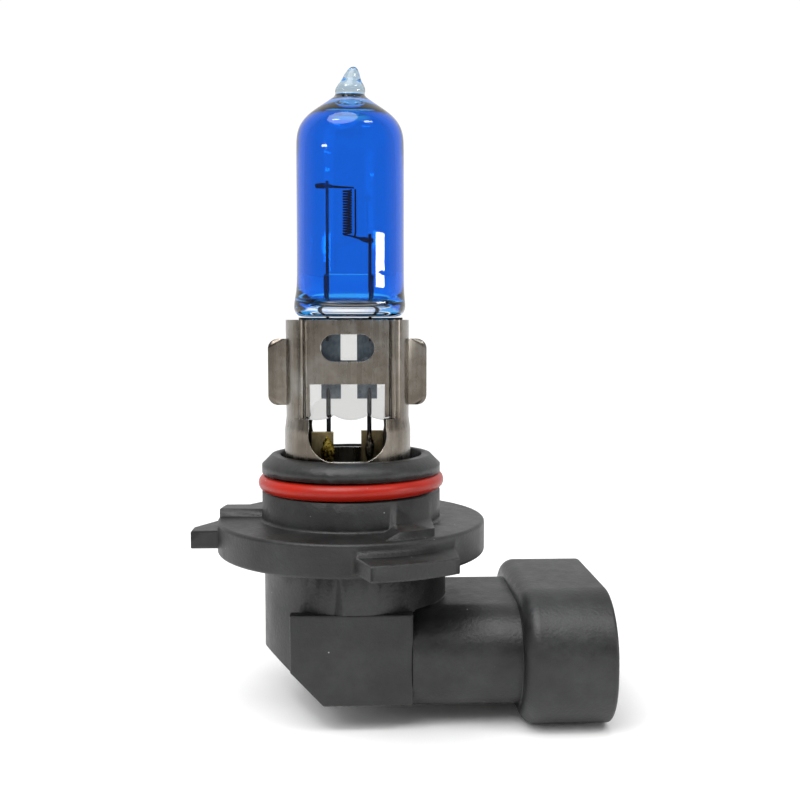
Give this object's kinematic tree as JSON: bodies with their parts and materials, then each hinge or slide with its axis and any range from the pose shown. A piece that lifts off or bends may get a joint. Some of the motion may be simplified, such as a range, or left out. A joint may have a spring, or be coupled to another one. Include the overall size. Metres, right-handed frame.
{
  "type": "headlight bulb",
  "caption": "Single-filament halogen headlight bulb: blue-coated quartz capsule in a steel clamp, on a moulded base with flange, sealing ring and right-angled plug socket.",
  "frame": {"origin": "on the bulb's axis, at the flange's top face, which is the plane it seats on in the lamp", "axes": "+Z along the bulb's axis towards the glass tip, +X towards the socket's mouth"},
  "size_m": [0.0454, 0.0368, 0.0713],
  "materials": {
    "quartz_glass": "clear fused quartz with a transparent blue coating",
    "tungsten": "drawn tungsten wire, dark grey",
    "molybdenum": "rolled molybdenum, satin grey",
    "clamp_steel": "pressed stainless steel sheet, lightly tarnished",
    "seat_steel": "pressed steel, dull",
    "moulded_body": "glass-filled polyester, moulded with a fine matt texture",
    "potting_resin": "black cast resin",
    "seal_rubber": "silicone rubber, orange red, satin",
    "terminal_brass": "brass strip, tarnished",
    "weld_metal": "fused metal bead, rough"
  },
  "bodies": {
    "root": {"glass_envelope": "quartz_glass", "filament": "tungsten", "stay_wire": "tungsten", "support_lead_long": "molybdenum", "support_lead_short": "molybdenum", "crimp_upper": "molybdenum", "crimp_lower": "molybdenum", "foil_left": "molybdenum", "foil_right": "molybdenum", "outer_lead_left": "molybdenum", "outer_lead_right": "molybdenum", "clamp_front": "clamp_steel", "clamp_rear": "clamp_steel", "mounting_ring": "seat_steel", "terminal_left": "terminal_brass", "terminal_right": "terminal_brass", "lead_welds": "weld_metal", "terminal_seal": "potting_resin", "base_housing": "moulded_body", "terminal_cover": "moulded_body", "o_ring": "seal_rubber"}
  },
  "joints": []
}
